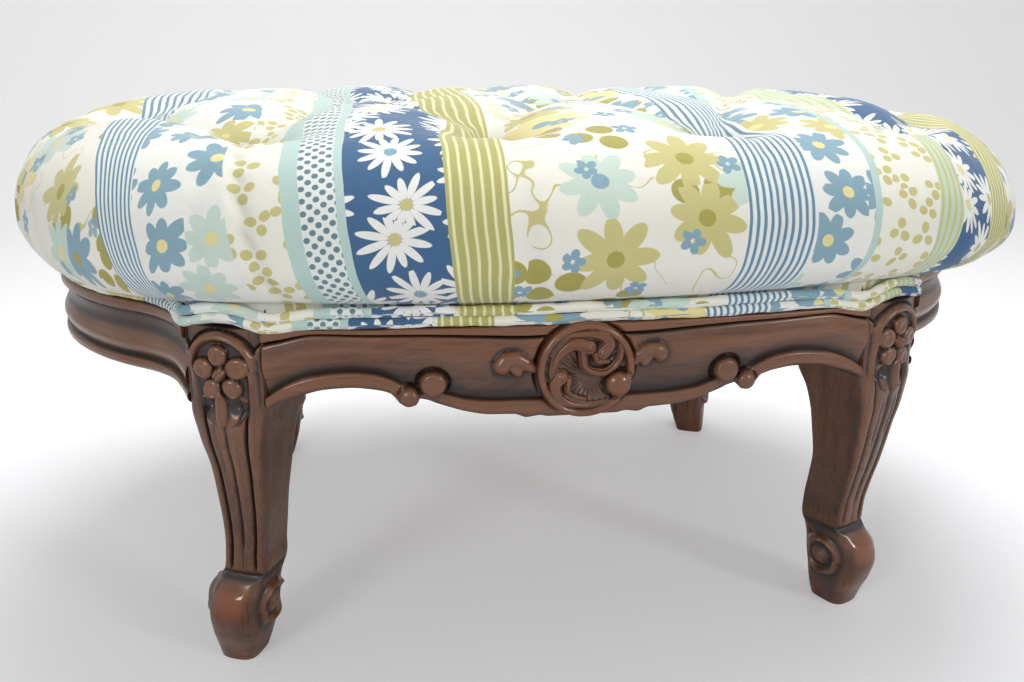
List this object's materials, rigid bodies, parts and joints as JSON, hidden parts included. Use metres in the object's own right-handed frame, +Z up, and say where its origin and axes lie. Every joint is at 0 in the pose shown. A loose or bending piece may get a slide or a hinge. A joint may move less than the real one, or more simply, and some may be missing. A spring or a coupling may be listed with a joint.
{
  "type": "upholstered footstool",
  "caption": "Low oval-ended footstool with a deep tufted cushion, double welt, carved bowed rails and scroll-foot cabriole legs.",
  "frame": {"origin": "centre of the footprint on the floor plane, under the middle of the stool", "axes": "+X along the length, -Y the front, +Z up"},
  "size_m": [0.7688, 0.5508, 0.381],
  "materials": {
    "walnut": "carved walnut, waxed satin finish with darker recesses",
    "birch": "plain turned dowel",
    "pine": "sawn, unfinished",
    "steel": "plain wood screw",
    "blued_steel": "blued cut tack",
    "jute_webbing": "woven jute",
    "hessian_cloth": "open plain weave",
    "firm_foam": "firm upholstery block",
    "cotton_felt": "soft cotton wadding",
    "cover_fabric": "printed cotton in bands of cream, blue, olive and pale aqua",
    "waxed_twine": "waxed linen twine"
  },
  "bodies": {
    "root": {"front_rail": "walnut", "back_rail": "walnut", "left_rail": "walnut", "right_rail": "walnut", "leg_front_right": "walnut", "leg_front_left": "walnut", "leg_back_right": "walnut", "leg_back_left": "walnut", "rail_dowels": "birch", "glue_block_long_front_right": "pine", "glue_block_long_front_left": "pine", "glue_block_long_back_right": "pine", "glue_block_long_back_left": "pine", "glue_block_end_front_right": "pine", "glue_block_end_front_left": "pine", "glue_block_end_back_right": "pine", "glue_block_end_back_left": "pine", "glue_block_screws": "steel", "webbing_long_1": "jute_webbing", "webbing_long_2": "jute_webbing", "webbing_long_3": "jute_webbing", "webbing_cross_1": "jute_webbing", "webbing_cross_2": "jute_webbing", "webbing_cross_3": "jute_webbing", "webbing_cross_4": "jute_webbing", "webbing_cross_5": "jute_webbing", "webbing_tacks": "blued_steel", "hessian": "hessian_cloth", "firm_core": "firm_foam", "cotton_wadding": "cotton_felt", "top_cover": "cover_fabric", "tufting_twines": "waxed_twine", "twine_ties": "cotton_felt", "welt_lower": "cover_fabric", "welt_upper": "cover_fabric"}
  },
  "joints": []
}
